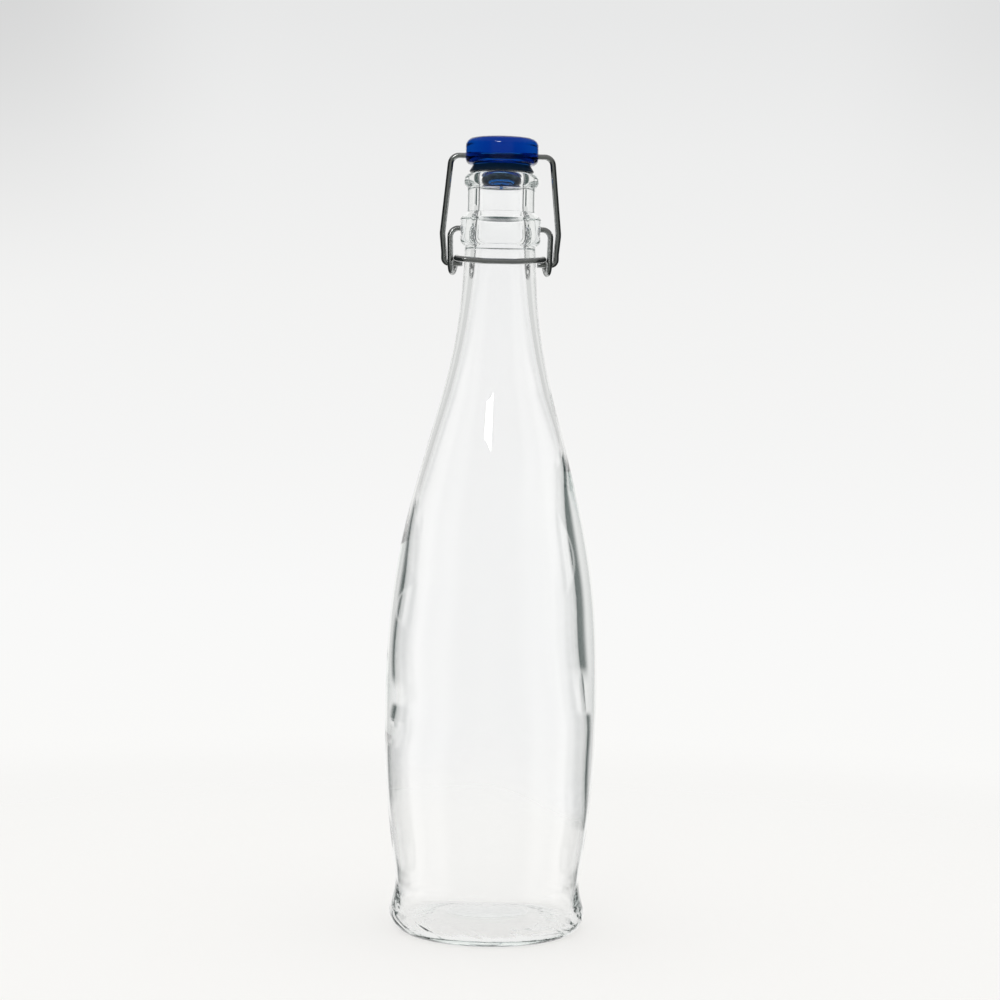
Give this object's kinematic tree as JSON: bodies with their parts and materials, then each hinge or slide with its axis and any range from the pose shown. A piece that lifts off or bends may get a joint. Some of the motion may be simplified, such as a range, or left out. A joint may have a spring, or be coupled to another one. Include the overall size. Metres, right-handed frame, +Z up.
{
  "type": "swing-top bottle",
  "caption": "Clear glass swing-top bottle with a tapered neck, a round plastic stopper, a rubber gasket, a wire bail and a wire lever.",
  "frame": {"origin": "centre of the foot ring, on the surface that the bottle stands on", "axes": "+Z up along the bottle's axis, -Y towards the front bar of the lever, X along the hinge axes of the closure"},
  "size_m": [0.0844, 0.0844, 0.316],
  "materials": {
    "clear_glass": "clear fire-polished glass",
    "blue_plastic": "glossy translucent cobalt blue moulding",
    "dark_rubber": "smooth dark navy rubber",
    "bail_steel": "drawn steel wire",
    "lever_steel": "drawn steel wire"
  },
  "bodies": {
    "bottle": {"bottle": "clear_glass"},
    "lever": {"lever_wire": "lever_steel"},
    "bail": {"bail_wire": "bail_steel"},
    "stopper": {"stopper": "blue_plastic", "gasket": "dark_rubber"}
  },
  "joints": [
    {"name": "lever_pivot", "type": "hinge", "parent": "bottle", "child": "lever", "pos_m": [0, 0, 0.2796], "axis": [-1, 0, 0], "range_deg": [0, 80]},
    {"name": "bail_pivot", "type": "hinge", "parent": "lever", "child": "bail", "pos_m": [0, 0.0008, 0.26565], "axis": [-1, 0, 0], "range_deg": [-56.5, 0]},
    {"name": "stopper_pivot", "type": "hinge", "parent": "bail", "child": "stopper", "pos_m": [0, 0, 0.3083], "axis": [-1, 0, 0], "range_deg": [-24.5, 0]}
  ],
  "couplings": [
    {"joint": "bail_pivot", "follows": "lever_pivot", "ratio": -0.7},
    {"joint": "stopper_pivot", "follows": "lever_pivot", "ratio": -0.3}
  ]
}
